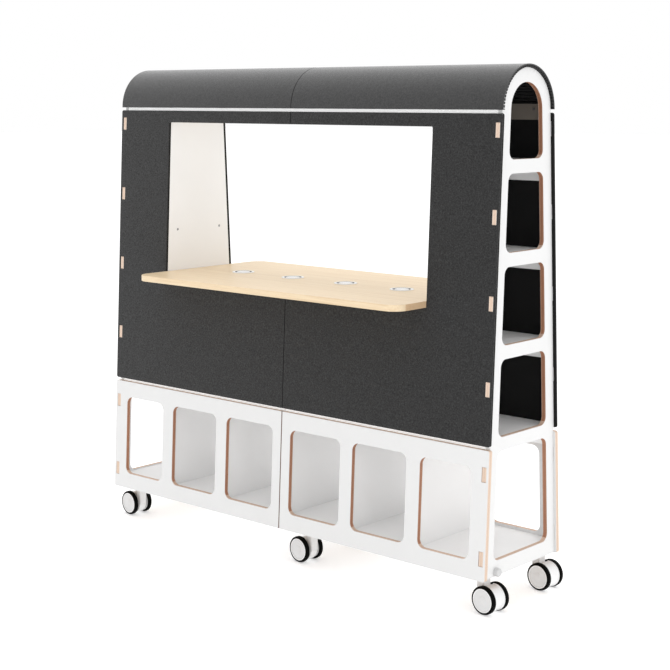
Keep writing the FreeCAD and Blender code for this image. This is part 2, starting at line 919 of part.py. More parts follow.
def set_down(body, place):
    """Move a caster part from its own frame, stem on the Z axis, to its place and heading."""
    along, across, heading = place
    turn = FreeCAD.Rotation(FreeCAD.Vector(0, 0, 1), heading)
    body.Placement = FreeCAD.Placement(FreeCAD.Vector(along.number, across.number, 0), turn)
    body.setExpression("Placement.Base.x", along.formula)
    body.setExpression("Placement.Base.y", across.formula)


def caster_hood(name, place):
    """Hood with a channel round its rim, a web behind it, and the neck that turns on the stem."""
    body = new_body(f"caster_hood_{name}")
    half = size("hood_half")
    web = size("web_half")
    neck = size("neck_half")
    trail = size("trail")
    radius = size("hood_radius")
    top = base_bottom - size("plate_board") - gap
    pad(body, "XZ_Plane", -half, half * 2, lambda sketch: circle(sketch, (trail, wheel_radius), radius))

    def channel(sketch):
        circle(sketch, (trail, wheel_radius), radius + 1)
        circle(sketch, (trail, wheel_radius), radius - size("hood_channel"))

    floor_half = half - size("hood_lip")
    pocket(body, "XZ_Plane", -floor_half, floor_half * 2, channel)
    back = trail - size("hood_back")
    for side in SIDES.values():
        start, depth = between(side, web, half + 1)
        pocket(body, "XZ_Plane", start, depth, lambda sketch: outline(
            sketch, rectangle(back - radius, back, 0, wheel_radius * 2)))
    pad(body, "XZ_Plane", -web, web * 2, lambda sketch: outline(sketch, [
        (-neck, wheel_radius), (trail, wheel_radius / 5), (trail, wheel_radius), (neck, wheel_radius * 1.5),
        (neck, top), (-neck, top)]))
    round_edges(body, "Z", "neck_corner", [(-neck, -web), (-neck, web)])
    depth = size("stem_length") + 1
    pocket(body, "XY_Plane", top - depth, depth + 1, lambda sketch: circle(
        sketch, (0, 0), size("stem_radius") + size("axle_play")))
    pocket(body, "XZ_Plane", -half - 1, half * 2 + 2, lambda sketch: circle(
        sketch, (trail, wheel_radius), size("axle_radius") + size("axle_play")))
    set_down(body, place)


def wheel_stretches():
    """The two wheels of a caster, as start and length along the XZ plane's normal."""
    outer = size("wheel_inner") + size("wheel_width")
    return [between(side, "wheel_inner", outer) for side in SIDES.values()]


def caster_hubs(name, place):
    """Two hub discs on one axle; each outer face is dished inside a rim."""
    body = new_body(f"caster_hubs_{name}")
    centre = (size("trail"), wheel_radius)
    inner = size("wheel_inner")
    pad(body, "XZ_Plane", -inner - 1, inner * 2 + 2, lambda sketch: circle(sketch, centre, "axle_radius"))
    for start, length in wheel_stretches():
        pad(body, "XZ_Plane", start, length, lambda sketch: circle(sketch, centre, "hub_radius"))
    dish = size("hub_dish")
    outer = inner + size("wheel_width")
    for side in SIDES.values():
        start, length = between(side, outer - dish, outer + 1)

        def ring(sketch):
            circle(sketch, centre, size("hub_radius") - size("hub_rim"))
            circle(sketch, centre, "hub_boss")

        pocket(body, "XZ_Plane", start, length, ring)
    set_down(body, place)


def caster_tyres(name, place):
    """Rubber tyres on the two hubs."""
    body = new_body(f"caster_tyres_{name}")
    centre = (size("trail"), wheel_radius)

    def ring(sketch):
        circle(sketch, centre, wheel_radius)
        circle(sketch, centre, "hub_radius")

    for start, length in wheel_stretches():
        pad(body, "XZ_Plane", start, length, ring)
    round_rims(body, wheel_radius, "tyre_round")
    set_down(body, place)


# Trim ---------------------------------------------------------------------------------------


def end_bumpers():
    """Round bumpers low on the outside of the end frames."""
    body = new_body("end_bumpers")
    centre = (-size("bumper_depth"), "bumper_lift")
    for side in SIDES.values():
        start, length = between(side, frame_face, frame_face + size("bumper_height"))
        pad(body, "YZ_Plane", start, length, lambda sketch: circle(sketch, centre, "bumper_radius"))
    round_rims(body, "bumper_radius", "bumper_round")


# Build --------------------------------------------------------------------------------------

for module, sign in SIDES.items():
    end_frame(module, sign)
    window_jamb(module, sign)
    cap(module, sign)
    for face_name, face in FACES.items():
        felt_panel(face_name, face, module, sign)
        base_panel(face_name, face, module, sign)
    base_floor(module, sign)
    base_ceiling_board(module, sign)
    tower_shelves(module, sign)
base_dividers()
shelf_battens()
frame_screws()
top_rails()
window_header()
seam_posts()
desktop()
desk_cleats()
grommet_sleeves()
grommet_liners()
for number in range(GROMMETS):
    grommet_lid(number)
caster_bearers()
caster_mounts()
caster_screws()
for name, place in caster_places().items():
    caster_hood(name, place)
    caster_hubs(name, place)
    caster_tyres(name, place)
end_bumpers()
doc.recompute()

for item in doc.Objects:
    if "Invalid" in item.State or "Error" in item.State:
        raise RuntimeError(f"{item.Label} is {item.State}")
for body in PARTS:
    if body.Shape.isNull() or not body.Shape.isValid() or not body.Shape.Solids:
        raise RuntimeError(f"{body.Label} has no valid shape")

os.makedirs("parts", exist_ok=True)
for body in PARTS:
    body.Shape.exportStep(f"parts/{body.Label}.step")
    print(f"{body.Label:28s} {len(body.Shape.Solids):3d} solids {body.Shape.Volume / 1000:10.1f} cm3")
print(len(PARTS), "sub-parts")
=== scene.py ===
import json
import math

import bmesh
import bpy
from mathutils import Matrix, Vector


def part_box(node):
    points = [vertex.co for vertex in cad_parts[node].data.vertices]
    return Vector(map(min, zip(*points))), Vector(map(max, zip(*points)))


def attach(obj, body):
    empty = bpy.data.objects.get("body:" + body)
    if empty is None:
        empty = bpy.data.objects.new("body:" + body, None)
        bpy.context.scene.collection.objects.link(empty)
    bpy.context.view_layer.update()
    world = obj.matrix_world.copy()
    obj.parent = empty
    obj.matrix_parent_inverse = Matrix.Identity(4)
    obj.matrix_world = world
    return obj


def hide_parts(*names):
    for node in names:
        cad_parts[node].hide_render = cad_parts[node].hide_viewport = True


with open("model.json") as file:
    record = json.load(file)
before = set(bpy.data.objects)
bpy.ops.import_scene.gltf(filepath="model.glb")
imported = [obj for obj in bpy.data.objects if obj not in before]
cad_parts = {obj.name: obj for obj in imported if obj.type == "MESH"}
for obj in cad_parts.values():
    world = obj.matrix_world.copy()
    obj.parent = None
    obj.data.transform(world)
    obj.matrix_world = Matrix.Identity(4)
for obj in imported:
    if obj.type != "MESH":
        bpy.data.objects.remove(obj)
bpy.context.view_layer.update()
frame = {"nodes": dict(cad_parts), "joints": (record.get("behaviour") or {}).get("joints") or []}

# Looks of the mobile partition with a standing desk. Lengths are in metres, in the frame of
# the CAD model: +X along the wall, -Y the front, +Z up, the origin on the floor.

MM = 0.001
BODY = "partition"
JOINTS = {joint["name"]: joint for joint in frame["joints"]}
SIDES = ("left", "right")
CASTERS = [f"{station}_{row}" for row in ("front", "back") for station in ("left", "middle", "right")]
SPRING = 1.793                   # height where the felt cap's half circle begins
FOOT_HALF = 0.239                # half depth at the bottom edge of the base panels
BASE_BOTTOM = 0.138
BASE_TOP = 0.617                 # underside of the top of the base, and of the shelves above it
CAP_RADIUS = 0.161
LEAN = (FOOT_HALF - CAP_RADIUS) / (SPRING - BASE_BOTTOM)
SHELF_PITCH = 0.3266
WINDOW_HALF = 0.698              # inner faces of the window's sides
WINDOW_TOP = 1.732
FRAME_FACE = 0.972               # inner faces of the end frames
FRAME_OUTSIDE = 0.990
DIVIDER_INNER = 0.331
DIVIDER_OUTER = 0.654
SEAM_HALF = 0.001                # half the slot between the two modules
RAIL_FACE = 0.1294               # inner faces of the top rails
DESK_END = 0.6962
GROMMET_PITCH = 0.285            # the desk grommets, in a row about the seam
GROMMET_LIP = 0.0365             # the sleeves are black inside this radius
BOARD = 0.018
PLIES = 13
LAMINATE = 0.0007
FELT_SKIN = 0.0042               # charcoal felt on the black core of the felt boards
FILL = (0.28, 0.28, 0.28)        # light of their own that recessed faces get


# Shader graphs ------------------------------------------------------------------------------


class Graph:
    """The shader nodes of one material, wired from code."""

    def __init__(self, name, **constants):
        self.material = bpy.data.materials.new(name)
        self.material.use_nodes = True
        self.nodes = self.material.node_tree.nodes
        self.links = self.material.node_tree.links
        self.shader = self.nodes["Principled BSDF"]
        for socket, value in constants.items():
            self.shader.inputs[socket.replace("_", " ")].default_value = value
        coordinates = self.nodes.new("ShaderNodeTexCoord").outputs
        self.place = coordinates["Object"]
        self.normal = coordinates["Normal"]

    def put(self, value, socket):
        if isinstance(value, bpy.types.NodeSocket):
            self.links.new(value, socket)
        else:
            socket.default_value = value

    def math(self, operation, *values, clamp=False):
        node = self.nodes.new("ShaderNodeMath")
        node.operation = operation
        node.use_clamp = clamp
        for value, socket in zip(values, node.inputs):
            self.put(value, socket)
        return node.outputs[0]

    def scaled(self, vector, factors):
        node = self.nodes.new("ShaderNodeVectorMath")
        node.operation = "MULTIPLY"
        self.put(vector, node.inputs[0])
        self.put(factors, node.inputs[1])
        return node.outputs[0]

    def axes(self, vector=None):
        node = self.nodes.new("ShaderNodeSeparateXYZ")
        self.put(self.place if vector is None else vector, node.inputs[0])
        return node.outputs

    def vector(self, *values):
        node = self.nodes.new("ShaderNodeCombineXYZ")
        for value, socket in zip(values, node.inputs):
            self.put(value, socket)
        return node.outputs[0]

    def noise(self, vector, scale, detail=2.0, roughness=0.5, distortion=0.0):
        node = self.nodes.new("ShaderNodeTexNoise")
        self.put(vector, node.inputs["Vector"])
        node.inputs["Scale"].default_value = scale
        node.inputs["Detail"].default_value = detail
        node.inputs["Roughness"].default_value = roughness
        node.inputs["Distortion"].default_value = distortion
        return node.outputs[0]

    def ramp(self, factor, *stops):
        """Colour ramp; a stop is (position, colour or grey)."""
        node = self.nodes.new("ShaderNodeValToRGB")
        self.put(factor, node.inputs[0])
        elements = node.color_ramp.elements
        while len(elements) < len(stops):
            elements.new(0.5)
        for element, (position, colour) in zip(elements, stops):
            element.position = position
            element.color = (*(colour if isinstance(colour, tuple) else (colour,) * 3), 1)
        return node.outputs[0]

    def mix(self, factor, first, second, blend="MIX"):
        node = self.nodes.new("ShaderNodeMix")
        node.data_type = "RGBA"
        node.blend_type = blend
        self.put(factor, node.inputs["Factor"])
        for value, socket in ((first, node.inputs[6]), (second, node.inputs[7])):
            self.put((*value, 1) if isinstance(value, tuple) else value, socket)
        return node.outputs[2]

    def spread(self, factor, low, high):
        """Map 0..1 to low..high."""
        node = self.nodes.new("ShaderNodeMapRange")
        self.put(factor, node.inputs["Value"])
        node.inputs["To Min"].default_value = low
        node.inputs["To Max"].default_value = high
        return node.outputs[0]

    def length(self, first, second):
        """Length of the vector with these two components."""
        return self.math("SQRT", self.math("ADD", self.math("MULTIPLY", first, first),
                                           self.math("MULTIPLY", second, second)))

    def bump(self, height, distance):
        node = self.nodes.new("ShaderNodeBump")
        node.inputs["Distance"].default_value = distance
        node.inputs["Strength"].default_value = 1.0
        self.put(height, node.inputs["Height"])
        self.put(node.outputs[0], self.shader.inputs["Normal"])

    def colour(self, socket):
        self.put(socket, self.shader.inputs["Base Color"])

    def roughness(self, socket):
        self.put(socket, self.shader.inputs["Roughness"])


def moulded(name, colour, roughness, grain=900, depth=0.03, tint=0.04, gloss=0.5, ring=None):
    """Moulded plastic or rubber: fine spark-eroded grain and a slightly uneven gloss. With a
    ring, the plastic is black inside that radius about the middle of each desk grommet."""
    graph = Graph(name, Specular_IOR_Level=gloss)
    cloud = graph.noise(graph.place, 28, detail=3)
    fine = graph.noise(graph.place, grain, detail=2)
    lighter = tuple(min(1.0, channel * (1 + tint)) for channel in colour)
    darker = tuple(channel * (1 - tint) for channel in colour)
    shade = graph.mix(cloud, darker, lighter)
    if ring is not None:
        along, across, _ = graph.axes()
        step = graph.math("FRACT", graph.math("DIVIDE", along, GROMMET_PITCH))
        along = graph.math("MULTIPLY", graph.math("SUBTRACT", step, 0.5), GROMMET_PITCH)
        radius = graph.length(along, across)
        shade = graph.mix(graph.math("LESS_THAN", radius, ring), shade, (0.008, 0.008, 0.0085))
    graph.colour(shade)
    graph.roughness(graph.spread(cloud, roughness - 0.05, roughness + 0.06))
    graph.bump(fine, depth * MM)
    return graph.material


def metal(name, colour, roughness):
    """Plated steel: cloudy gloss with fine rolling marks along X."""
    graph = Graph(name, Metallic=1.0)
    marks = graph.noise(graph.scaled(graph.place, (30, 1, 1)), 90, detail=3)
    cloud = graph.noise(graph.place, 60, detail=3)
    graph.colour(graph.mix(cloud, tuple(channel * 0.86 for channel in colour), colour))
    graph.roughness(graph.spread(marks, roughness - 0.08, roughness + 0.1))
    graph.bump(marks, 0.02 * MM)
    return graph.material


def wall_depth(graph, inset):
    """How far a point lies inside the plane of the leaning walls, less inset."""
    _, across, up = graph.axes()
    rise = graph.math("SUBTRACT", up, BASE_BOTTOM)
    plane = graph.math("SUBTRACT", FOOT_HALF - inset, graph.math("MULTIPLY", rise, LEAN))
    return graph.math("SUBTRACT", plane, graph.math("ABSOLUTE", across))


def felt_material(name, wrapped):
    """Needled felt on a black board: short crossing fibres, a soft mottle and a pale fuzz."""
    graph = Graph(name, Roughness=0.72 if wrapped else 0.90, Sheen_Weight=1.0,
                  Sheen_Roughness=0.42, Specular_IOR_Level=0.5 if wrapped else 0.25)
    along, across, up = graph.axes()
    depth = wall_depth(graph, 0)
    if wrapped:
        # Follow the bend: up becomes the way round the arch, across the radius.
        rise = graph.math("SUBTRACT", up, SPRING)
        angle = graph.math("ARCTAN2", rise, across)
        radius = graph.length(rise, across)
        up = graph.math("MULTIPLY", angle, CAP_RADIUS)
        across = radius
        depth = graph.math("SUBTRACT", CAP_RADIUS, radius)
    fibres = None
    for turn in (12, 71, 133):
        cos, sin = math.cos(math.radians(turn)), math.sin(math.radians(turn))
        run = graph.math("ADD", graph.math("MULTIPLY", along, cos), graph.math("MULTIPLY", up, sin))
        side = graph.math("SUBTRACT", graph.math("MULTIPLY", up, cos), graph.math("MULTIPLY", along, sin))
        strand = graph.noise(graph.vector(graph.math("MULTIPLY", run, 150),
                                          graph.math("MULTIPLY", side, 1100),
                                          graph.math("MULTIPLY", across, 700)), 1.0, detail=2, distortion=0.6)
        fibres = strand if fibres is None else graph.math("MAXIMUM", fibres, strand)
    flat = graph.vector(along, across, up)
    speck = graph.noise(flat, 240, detail=3, roughness=0.65)
    mottle = graph.noise(flat, 46, detail=4, roughness=0.6)
    dark = graph.mix(mottle, (0.0055, 0.0055, 0.0056), (0.0125, 0.0125, 0.0128))
    pale = graph.mix(speck, (0.013, 0.013, 0.0133), (0.050, 0.050, 0.051))
    weave = graph.ramp(fibres, (0.46, 0.0), (0.72, 1.0))
    blotch = graph.ramp(graph.noise(flat, 170, detail=3, roughness=0.7), (0.36, 0.50), (0.64, 1.50))
    face = graph.mix(1.0, graph.mix(weave, dark, pale), blotch, blend="MULTIPLY")
    core = graph.mix(speck, (0.0035, 0.0035, 0.0036), (0.0085, 0.0085, 0.0088))
    seam = graph.math("LESS_THAN", graph.math("ABSOLUTE", along), 1.6 * MM)
    buried = graph.math("MAXIMUM", graph.math("GREATER_THAN", depth, FELT_SKIN), seam)
    graph.colour(graph.mix(buried, face, core))
    thin_fuzz = 0.70 if wrapped else 0.42
    fuzz = graph.ramp(graph.noise(flat, 200, detail=3, roughness=0.7), (0.36, thin_fuzz), (0.62, 1.0))
    fuzz = graph.mix(1.0, fuzz, graph.ramp(fibres, (0.45, 0.8), (0.7, 1.0)), blend="MULTIPLY")
    graph.put(graph.mix(buried, fuzz, (0.03, 0.03, 0.03)), graph.shader.inputs["Sheen Tint"])
    height = graph.math("ADD", graph.math("MULTIPLY", fibres, 0.7), graph.math("MULTIPLY", speck, 0.5))
    graph.bump(height, 0.45 * MM)
    return graph.material


def board_material(name, depth_of, white, banded=False, rim=None, inner=None, fill=None):
    """Laminated birch plywood. depth_of(graph) is the depth below one of the faces, so the
    laminate, as bright as white says, is a skin on both faces and the cut edges show the plies.
    A banded board has a white outer contour too, and bare plies only in its openings and at its
    tenons. rim(graph) is 1 where the bare ply edge is painted paler, as painted light on edges that
    face the light; the other bare edges are painted darker and redder, as painted shade. On banded
    boards the tenons get that painted light, and up-facing edges get it on both kinds. On these
    boards a line along the slot between the modules is painted dark, as painted shade. inner is a
    painted-shade colour: the face at depth 0 takes it in place of the laminate. fill(graph, depth)
    is 1 where a recessed face gets a little light of its own, in place of a fill light in narrow gaps."""
    graph = Graph(name, Specular_IOR_Level=0.5)
    depth = depth_of(graph)
    ply = graph.math("DIVIDE", depth, BOARD / PLIES)
    parity = graph.math("MODULO", graph.math("FLOOR", ply), 2)
    within = graph.math("ABSOLUTE", graph.math("SUBTRACT", graph.math("FRACT", ply), 0.5))
    glue = graph.math("GREATER_THAN", within, 0.44)
    pores = graph.noise(graph.place, 1500, detail=2, roughness=0.7)
    streak = graph.noise(graph.place, 130, detail=4, roughness=0.62)
    long_grain = graph.mix(streak, (0.66, 0.44, 0.29), (0.86, 0.66, 0.49))
    end_grain = graph.mix(pores, (0.36, 0.20, 0.115), (0.66, 0.44, 0.29))
    wood = graph.mix(parity, long_grain, end_grain)
    wood = graph.mix(graph.math("MULTIPLY", glue, 0.55), wood, (0.24, 0.12, 0.07))
    middle = graph.math("ABSOLUTE", graph.math("SUBTRACT", depth, BOARD / 2))
    heart = graph.math("SUBTRACT", 1.0, graph.math("DIVIDE", middle, 4.2 * MM), clamp=True)
    wood = graph.mix(graph.math("MULTIPLY", heart, 0.62), wood, (0.34, 0.165, 0.085))
    soil = graph.noise(graph.place, 9, detail=3)
    laminate = graph.mix(soil, (white - 0.015, white - 0.015, white - 0.018), (white + 0.015,) * 3)
    # Painted shade: with inner given, the half of the board towards the face at depth 0 gets that darker
    # colour in place of the laminate.
    if inner is not None:
        laminate = graph.mix(graph.math("LESS_THAN", depth, BOARD / 2), laminate, inner)
    inside = graph.math("SUBTRACT", BOARD / 2 - LAMINATE, middle)
    bare = graph.math("GREATER_THAN", inside, 0.0)
    if banded:
        below = wall_depth(graph, 0)
        opening = graph.math("GREATER_THAN", below, 30 * MM)
        tenon = graph.math("LESS_THAN", below, 11 * MM)
        low = graph.math("LESS_THAN", graph.axes()[2], SPRING)
        _, across, up = graph.axes()
        rise = graph.math("SUBTRACT", up, SPRING)
        radius = graph.length(rise, across)
        arch = graph.math("LESS_THAN", radius, 125 * MM)
        straight = graph.math("MULTIPLY", low, graph.math("MAXIMUM", opening, tenon))
        bent = graph.math("MULTIPLY", graph.math("SUBTRACT", 1.0, low), arch)
        bare = graph.math("MULTIPLY", bare, graph.math("MAXIMUM", straight, bent))
        # Painted light: the tenons get the paler ply colour.
        pale = tenon
    elif rim is not None:
        pale = rim(graph)
    if banded or rim is not None:
        # Painted light and shade on the bare ply edges: the lit contour, the tenons and up-facing edges are
        # painted paler, and the other edges darker and redder.
        facing = graph.axes(graph.normal)[2]
        up_facing_light = graph.math("MULTIPLY", graph.math("GREATER_THAN", facing, 0.6), 0.75)
        shaded_ply = graph.mix(1.0, wood, (0.70, 0.50, 0.43), blend="MULTIPLY")
        lit_ply = graph.mix(0.42, wood, (0.95, 0.80, 0.69))
        wood = graph.mix(graph.math("MAXIMUM", pale, up_facing_light), shaded_ply, lit_ply)
        # Painted shade: laminate and ply within 2.4 mm of the slot between the modules are painted dark, for
        # the shade in the slot.
        seam_shade = graph.math("LESS_THAN", graph.math("ABSOLUTE", graph.axes()[0]), 2.4 * MM)
        laminate = graph.mix(seam_shade, laminate, (0.16, 0.07, 0.04))
        wood = graph.mix(seam_shade, wood, (0.07, 0.032, 0.018))
    graph.colour(graph.mix(bare, laminate, wood))
    if fill is not None:
        graph.put(graph.mix(fill(graph, depth), (0, 0, 0), FILL), graph.shader.inputs["Emission Color"])
        graph.shader.inputs["Emission Strength"].default_value = 1.0
    satin = graph.spread(graph.noise(graph.place, 34, detail=2), 0.30, 0.38)
    rough = graph.math("ADD", graph.math("MULTIPLY", satin, graph.math("SUBTRACT", 1.0, bare)),
                       graph.math("MULTIPLY", bare, 0.62))
    graph.roughness(rough)
    peel = graph.noise(graph.place, 1400, detail=2)
    cut = graph.math("ADD", graph.math("MULTIPLY", pores, 4.0), graph.math("MULTIPLY", glue, -3.0))
    graph.bump(graph.math("ADD", peel, graph.math("MULTIPLY", cut, bare)), 0.02 * MM)
    return graph.material


def x_board(near):
    """Depth below the face at |x| = near of a board that stands across the wall."""
    return lambda graph: graph.math("SUBTRACT", graph.math("ABSOLUTE", graph.axes()[0]), near)


def z_board(bottom, pitch=None):
    """Depth above the underside of a lying board, repeated at pitch."""
    def depth(graph):
        rise = graph.math("SUBTRACT", graph.axes()[2], bottom)
        return rise if pitch is None else graph.math("MODULO", rise, pitch)
    return depth


def panel_rim(graph):
    """1 on the outer contour of a base panel, where the ply edge is painted paler as painted light, 0 in its
    openings, where it is painted darker as painted shade.
    """
    along, _, up = graph.axes()
    end = graph.math("GREATER_THAN", graph.math("ABSOLUTE", along), FRAME_OUTSIDE)
    top = graph.math("GREATER_THAN", up, BASE_TOP - 27 * MM)
    return graph.math("MAXIMUM", end, top)


def batten_depth(graph):
    """Depth below the outer face of a batten; those of the base lie behind thicker panels."""
    base = graph.math("LESS_THAN", graph.axes()[2], BASE_TOP + 3 * MM)
    return graph.math("SUBTRACT", wall_depth(graph, 12.3 * MM), graph.math("MULTIPLY", base, 6 * MM))


def rail_depth(graph):
    """Depth below the inner face of a top rail."""
    return graph.math("SUBTRACT", graph.math("ABSOLUTE", graph.axes()[1]), RAIL_FACE)


def veneer_material(name):
    """Maple veneer: straight grain along X with fine pores; end grain at the desk's ends."""
    graph = Graph(name, Specular_IOR_Level=0.45, Coat_Weight=0.12, Coat_Roughness=0.3)
    drift = graph.noise(graph.scaled(graph.place, (1.1, 6, 6)), 1.0, detail=2)
    bent = graph.vector(graph.axes()[0],
                        graph.math("ADD", graph.axes()[1], graph.math("MULTIPLY", drift, 0.03)),
                        graph.axes()[2])
    growth = graph.noise(graph.scaled(bent, (1.5, 62, 62)), 1.0, detail=3, roughness=0.55)
    grain = graph.noise(graph.scaled(bent, (7, 330, 330)), 1.0, detail=3, roughness=0.6)
    pores = graph.noise(graph.scaled(bent, (40, 1500, 1500)), 1.0, detail=2, roughness=0.6)
    base = graph.ramp(growth, (0.30, (0.74, 0.56, 0.345)), (0.52, (0.85, 0.69, 0.475)),
                      (0.75, (0.80, 0.625, 0.405)))
    base = graph.mix(graph.ramp(grain, (0.35, 0.34), (0.65, 0.0)), base, (0.66, 0.47, 0.28))
    base = graph.mix(graph.ramp(pores, (0.26, 0.5), (0.38, 0.0)), base, (0.47, 0.30, 0.16))
    end = graph.math("GREATER_THAN", graph.math("ABSOLUTE", graph.axes()[0]), DESK_END)
    base = graph.mix(graph.math("MULTIPLY", end, 0.55), base, (0.60, 0.36, 0.19))
    graph.colour(base)
    graph.roughness(graph.spread(growth, 0.36, 0.48))
    graph.bump(graph.math("ADD", grain, pores), 0.03 * MM)
    return graph.material


def raw_ply_material(name):
    """Bare birch plywood of the hidden boards, grain along X."""
    graph = Graph(name)
    growth = graph.noise(graph.scaled(graph.place, (3, 40, 40)), 1.0, detail=4, roughness=0.6)
    pores = graph.noise(graph.scaled(graph.place, (60, 900, 900)), 1.0, detail=2)
    base = graph.mix(growth, (0.55, 0.37, 0.22), (0.76, 0.57, 0.38))
    graph.colour(graph.mix(graph.ramp(pores, (0.3, 0.4), (0.45, 0.0)), base, (0.38, 0.22, 0.12)))
    graph.roughness(graph.spread(growth, 0.55, 0.7))
    graph.bump(pores, 0.05 * MM)
    return graph.material


FELT_FLAT = felt_material("felt_flat", False)
FELT_BENT = felt_material("felt_bent", True)
MAPLE = veneer_material("maple_veneer")
RAW_PLY = raw_ply_material("raw_birch")
WHITE_PLASTIC = moulded("white_plastic", (0.86, 0.86, 0.86), 0.30, tint=0.015)
RINGED_PLASTIC = moulded("ringed_plastic", (0.86, 0.86, 0.86), 0.3, ring=GROMMET_LIP)
# Painted shade: the white knobs of the end bumpers get a grey plastic, darker than the white plastic, for
# their shade.
KNOB_PAINTED_SHADE_PLASTIC = moulded("knob_plastic_painted_shade", (0.60, 0.60, 0.60), 0.38)
DISC_PLASTIC = moulded("disc_plastic", (0.70, 0.70, 0.70), 0.38, tint=0.02)
NECK_PLASTIC = moulded("neck_plastic", (0.80, 0.80, 0.80), 0.34, tint=0.02)
BLACK_PLASTIC = moulded("black_plastic", (0.008, 0.008, 0.0085), 0.5, tint=0.2, gloss=0.25)
TYRE_RUBBER = moulded("tyre_rubber", (0.002, 0.002, 0.002), 0.55, grain=700, depth=0.05, tint=0.2,
                      gloss=0.04)
ZINC = metal("zinc_plate", (0.55, 0.56, 0.58), 0.34)
SCREW_STEEL = metal("screw_steel", (0.30, 0.30, 0.31), 0.36)
# The laminate is one white on every board; its brightness is set per board as painted light and shade: lower
# on the base panels, end frames and window jambs, higher on the battens and top rails in the gaps.
BOARDS = {
    "end_frame": board_material("ply_end_frame", x_board(FRAME_FACE), white=0.79, banded=True),
    "window_jamb": board_material("ply_jamb", x_board(WINDOW_HALF), white=0.86),
    "base_front": board_material("ply_base_panel", lambda graph: wall_depth(graph, 0), white=0.745,
                                 rim=panel_rim),
    "base_floor": board_material("ply_floor", z_board(0.174), white=0.93),
    "base_top": board_material("ply_base_top", z_board(BASE_TOP), white=0.93),
    "tower_shelves": board_material("ply_shelves", z_board(BASE_TOP, SHELF_PITCH), white=0.93),
    "base_divider_seam": board_material("ply_divider_seam", x_board(SEAM_HALF), white=0.93),
    "base_divider_inner": board_material("ply_divider_inner", x_board(DIVIDER_INNER), white=0.93),
    "base_divider_outer": board_material("ply_divider_outer", x_board(DIVIDER_OUTER), white=0.93),
    "shelf_battens": board_material("ply_battens", batten_depth, white=0.95,
                                    fill=lambda graph, depth: graph.math("LESS_THAN", depth, 2 * MM)),
    # Painted shade: the inner faces of the top rails are painted dark brown for the shade between the rails.
    "top_rails": board_material("ply_top_rails", rail_depth, white=0.95, inner=(0.20, 0.175, 0.15),
                                fill=lambda graph, depth: graph.math("GREATER_THAN", depth, 16 * MM)),
    "window_header": board_material("ply_header", z_board(WINDOW_TOP), white=0.93),
}
BOARDS["base_back"] = BOARDS["base_front"]


# Meshes -------------------------------------------------------------------------------------


def finish_mesh(name, mesh, material, body, node=None, sharp=35):
    """Turn a bmesh into a smooth-shaded piece that rides on a body."""
    data = bpy.data.meshes.new(name)
    bmesh.ops.recalc_face_normals(mesh, faces=mesh.faces)
    mesh.to_mesh(data)
    mesh.free()
    data.polygons.foreach_set("use_smooth", [True] * len(data.polygons))
    data.set_sharp_from_angle(angle=math.radians(sharp))
    data.materials.append(material)
    piece = bpy.data.objects.new(name, data)
    bpy.context.scene.collection.objects.link(piece)
    weighted = piece.modifiers.new("weighted_normals", "WEIGHTED_NORMAL")
    weighted.keep_sharp = True
    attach(piece, body)
    if node is not None:
        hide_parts(node)
    return piece


def eased(node, width, material, segments=2, body=BODY):
    """Copy of a CAD node with its outer edges eased by width."""
    mesh = bmesh.new()
    mesh.from_mesh(frame["nodes"][node].data)
    bmesh.ops.remove_doubles(mesh, verts=mesh.verts, dist=3e-6)
    bmesh.ops.dissolve_limit(mesh, angle_limit=math.radians(0.4), verts=mesh.verts, edges=mesh.edges)
    bmesh.ops.recalc_face_normals(mesh, faces=mesh.faces)
    edges = [edge for edge in mesh.edges
             if edge.is_manifold and edge.is_convex and edge.calc_face_angle() > math.radians(40)]
    bmesh.ops.bevel(mesh, geom=edges, offset=width, offset_type="OFFSET", segments=segments,
                    profile=0.5, affect="EDGES", clamp_overlap=True)
    return finish_mesh(f"{node}_eased", mesh, material, body, node=node)


def add_lathe(mesh, profile, centre, axle, steps=96):
    """Turn a closed profile of (radius, offset) points round an axle."""
    axle = Vector(axle).normalized()
    up = Vector((0, 0, 1)) if abs(axle.z) < 0.9 else Vector((1, 0, 0))
    ahead = axle.cross(up)
    rings = []
    for step in range(steps):
        angle = 2 * math.pi * step / steps
        outward = ahead * math.cos(angle) + up * math.sin(angle)
        rings.append([mesh.verts.new(centre + outward * radius + axle * offset)
                      for radius, offset in profile])
    count = len(profile)
    for step in range(steps):
        here, there = rings[step], rings[(step + 1) % steps]
        for index in range(count):
            after = (index + 1) % count
            mesh.faces.new((here[index], here[after], there[after], there[index]))


# Boards and felt ----------------------------------------------------------------------------

for side in SIDES:
    for node in ("end_frame", "window_jamb", "base_front", "base_back"):
        eased(f"{node}_{side}", 0.5 * MM, BOARDS[node])
    for face in ("front", "back"):
        eased(f"felt_{face}_{side}", 2.6 * MM, FELT_FLAT, segments=4)
    eased(f"cap_{side}", 0.7 * MM, FELT_BENT)
    for node in ("base_floor", "base_top", "tower_shelves"):
        eased(f"{node}_{side}", 0.4 * MM, BOARDS[node], segments=1)
    for place in ("inner", "outer"):
        eased(f"base_divider_{side}_{place}", 0.4 * MM, BOARDS[f"base_divider_{place}"], segments=1)
eased("base_divider_seam", 0.4 * MM, BOARDS["base_divider_seam"], segments=1)
eased("shelf_battens", 0.4 * MM, BOARDS["shelf_battens"], segments=1)
eased("top_rails", 0.5 * MM, BOARDS["top_rails"])
eased("window_header", 0.4 * MM, BOARDS["window_header"], segments=1)
eased("desktop", 1.6 * MM, MAPLE, segments=3)
eased("grommet_sleeves", 0.7 * MM, RINGED_PLASTIC)
eased("grommet_liners", 0.5 * MM, BLACK_PLASTIC)
for number in range(1, 5):
    eased(f"grommet_lid_{number}", 0.8 * MM, WHITE_PLASTIC, body=f"lid_{number}")

CARRIED = {
    "seam_posts": RAW_PLY,
    "desk_cleats": RAW_PLY,
    "caster_bearers": RAW_PLY,
    "caster_mounts": ZINC,
    "caster_screws": SCREW_STEEL,
    "frame_screws": SCREW_STEEL,
}
for node, material in CARRIED.items():
    for place in frame["nodes"][node].material_slots:
        place.material = material


# Casters ------------------------------------------------------------------------------------

